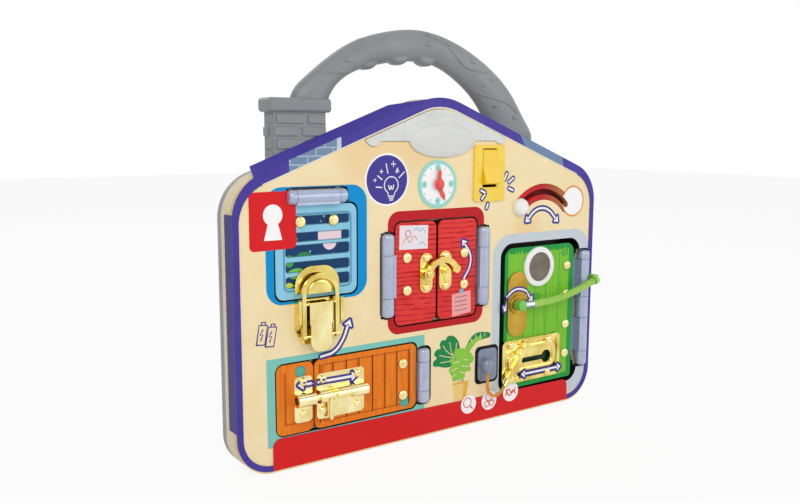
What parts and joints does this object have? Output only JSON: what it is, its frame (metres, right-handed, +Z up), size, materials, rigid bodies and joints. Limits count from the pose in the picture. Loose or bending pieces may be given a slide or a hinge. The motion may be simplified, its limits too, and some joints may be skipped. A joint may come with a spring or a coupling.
{
  "type": "wooden busy board",
  "caption": "House-shaped wooden activity board with a carrying handle, hinged window, shutters, cabinet and door, and latches, bolt, key, chain, clock, switch and lamp.",
  "frame": {"origin": "centre of the flat bottom edge of the board, half way through its thickness", "axes": "+X to the right across the front, +Y from the front to the back, +Z up"},
  "size_m": [0.33, 0.0377, 0.3023],
  "materials": {
    "painted_wood": "smooth printed film over thin plywood",
    "raw_wood": "pale sanded wood, matt",
    "grey_back": "grey painted fibreboard, matt",
    "print_card": "printed sheet, satin",
    "card": "coated card, satin",
    "grey_plastic": "fine moulded plastic",
    "steel": "zinc plated",
    "cloud_plastic": "milky plastic, satin",
    "circuit": "circuit board with lamps",
    "black_plastic": "moulded plastic, matt",
    "spring_steel": "bright spring steel",
    "wire": "thin twin lead",
    "yellow_plastic": "glossy moulded plastic",
    "orange_plastic": "glossy moulded plastic",
    "white_plastic": "glossy moulded plastic",
    "red_plastic": "glossy moulded plastic",
    "hinge_metal": "blue-grey lacquer, satin",
    "window_paint": "printed film, smooth",
    "brass": "polished brass plate",
    "red_paint": "printed film, smooth",
    "orange_paint": "printed film, smooth",
    "green_paint": "printed film, smooth",
    "mirror_film": "acrylic mirror film",
    "old_brass": "matt brass lacquer",
    "green_plastic": "glossy moulded plastic",
    "orange_cord": "braided cord, matt",
    "blue_metal": "grey-blue lacquer",
    "curly_cord": "coiled plastic cord"
  },
  "bodies": {
    "board": {"front_panel": "painted_wood", "wood_core": "raw_wood", "back_panel": "grey_back", "scene_board": "print_card", "card_sleeve": "card", "handle_front": "grey_plastic", "handle_back": "grey_plastic", "case_screws": "steel", "lamp_diffuser": "cloud_plastic", "lamp_board": "circuit", "battery_box": "black_plastic", "battery_contacts": "spring_steel", "battery_cover": "black_plastic", "lamp_lead": "wire", "switch_plate": "yellow_plastic", "clock_face": "white_plastic", "hinge_bases": "hinge_metal", "hinge_pins": "steel", "latch_base": "brass", "cabinet_block": "orange_paint", "bolt_keeper": "brass", "chain_cord": "orange_cord", "cord_anchor": "blue_metal", "key_cord": "curly_cord", "key_cord_peg": "green_plastic", "board_screws": "brass"},
    "window": {"window_flap": "window_paint", "window_hinge_leaf": "hinge_metal", "window_rivets": "brass", "latch_catch": "brass"},
    "latch_lever": {"latch_lever": "brass"},
    "latch_loop": {"latch_loop": "brass"},
    "left_shutter": {"left_shutter": "red_paint", "left_hinge_leaf": "hinge_metal", "left_fasteners": "brass", "hook_plate": "brass"},
    "hook": {"hook_arm": "brass"},
    "right_shutter": {"right_shutter": "red_paint", "right_hinge_leaf": "hinge_metal", "right_fasteners": "brass", "post_plate": "brass"},
    "cabinet": {"cabinet_door": "orange_paint", "cabinet_hinge_leaf": "hinge_metal", "cabinet_fasteners": "brass", "bolt_plate": "brass"},
    "bolt": {"bolt_rod": "brass"},
    "door": {"green_door": "green_paint", "green_hinge_leaf": "hinge_metal", "green_fasteners": "brass", "porthole_ring": "white_plastic", "porthole_mirror": "mirror_film", "lock_plate": "old_brass", "chain_plate": "brass"},
    "key": {"lock_cylinder": "brass", "door_key": "green_plastic"},
    "chain_slider": {"chain_slider": "brass"},
    "rocker": {"rocker": "orange_plastic"},
    "minute_hand": {"minute_hand": "red_plastic"},
    "hour_hand": {"hour_hand": "red_plastic"},
    "arc_knob": {"slider_knob": "red_plastic"}
  },
  "joints": [
    {"name": "window_hinge", "type": "hinge", "parent": "board", "child": "window", "pos_m": [-0.104, -0.01225, 0.186], "axis": [-1, 0, 0], "range_deg": [0, 100]},
    {"name": "latch_lever", "type": "hinge", "parent": "board", "child": "latch_lever", "pos_m": [-0.1044, -0.01485, 0.1134], "axis": [-1, 0, 0], "range_deg": [0, 90]},
    {"name": "latch_loop", "type": "hinge", "parent": "latch_lever", "child": "latch_loop", "pos_m": [-0.1044, -0.01725, 0.092], "axis": [1, 0, 0], "range_deg": [0, 180]},
    {"name": "left_shutter_hinge", "type": "hinge", "parent": "board", "child": "left_shutter", "pos_m": [-0.0465, -0.01225, 0.126], "axis": [0, 0, -1], "range_deg": [0, 105]},
    {"name": "right_shutter_hinge", "type": "hinge", "parent": "board", "child": "right_shutter", "pos_m": [0.0428, -0.01225, 0.126], "axis": [0, 0, 1], "range_deg": [0, 105]},
    {"name": "hook_turn", "type": "hinge", "parent": "left_shutter", "child": "hook", "pos_m": [-0.0128, -0.01685, 0.1252], "axis": [0, -1, 0], "range_deg": [0, 90]},
    {"name": "cabinet_hinge", "type": "hinge", "parent": "board", "child": "cabinet", "pos_m": [-0.0143, -0.01225, 0.048], "axis": [0, 0, 1], "range_deg": [0, 105]},
    {"name": "bolt_slide", "type": "slide", "parent": "cabinet", "child": "bolt", "axis": [1, 0, 0], "range_m": [-0.0018, 0.015]},
    {"name": "door_hinge", "type": "hinge", "parent": "board", "child": "door", "pos_m": [0.1553, -0.01225, 0.08], "axis": [0, 0, 1], "range_deg": [0, 90], "deforming": ["key_cord", "chain_cord"]},
    {"name": "key_turn", "type": "hinge", "parent": "door", "child": "key", "pos_m": [0.0786, -0.01225, 0.0914], "axis": [0, 1, 0], "range_deg": [-90, 90], "deforming": ["key_cord"]},
    {"name": "chain_slide", "type": "slide", "parent": "door", "child": "chain_slider", "axis": [1, 0, 0], "range_m": [0, 0.037], "deforming": ["chain_cord"]},
    {"name": "rocker_tilt", "type": "hinge", "parent": "board", "child": "rocker", "pos_m": [0.047, -0.00925, 0.202], "axis": [1, 0, 0], "range_deg": [0, 18]},
    {"name": "minute_turn", "type": "hinge", "parent": "board", "child": "minute_hand", "pos_m": [-0.0024, -0.01495, 0.191], "axis": [0, 1, 0], "continuous": true},
    {"name": "hour_turn", "type": "hinge", "parent": "board", "child": "hour_hand", "pos_m": [-0.0024, -0.01375, 0.191], "axis": [0, 1, 0], "continuous": true},
    {"name": "arc_slide", "type": "hinge", "parent": "board", "child": "arc_knob", "pos_m": [0.106, -0.01225, 0.147], "axis": [0, 1, 0], "range_deg": [0, 95]}
  ],
  "couplings": [
    {"joint": "latch_loop", "follows": "latch_lever", "ratio": 2},
    {"joint": "right_shutter_hinge", "follows": "left_shutter_hinge", "ratio": 1}
  ]
}
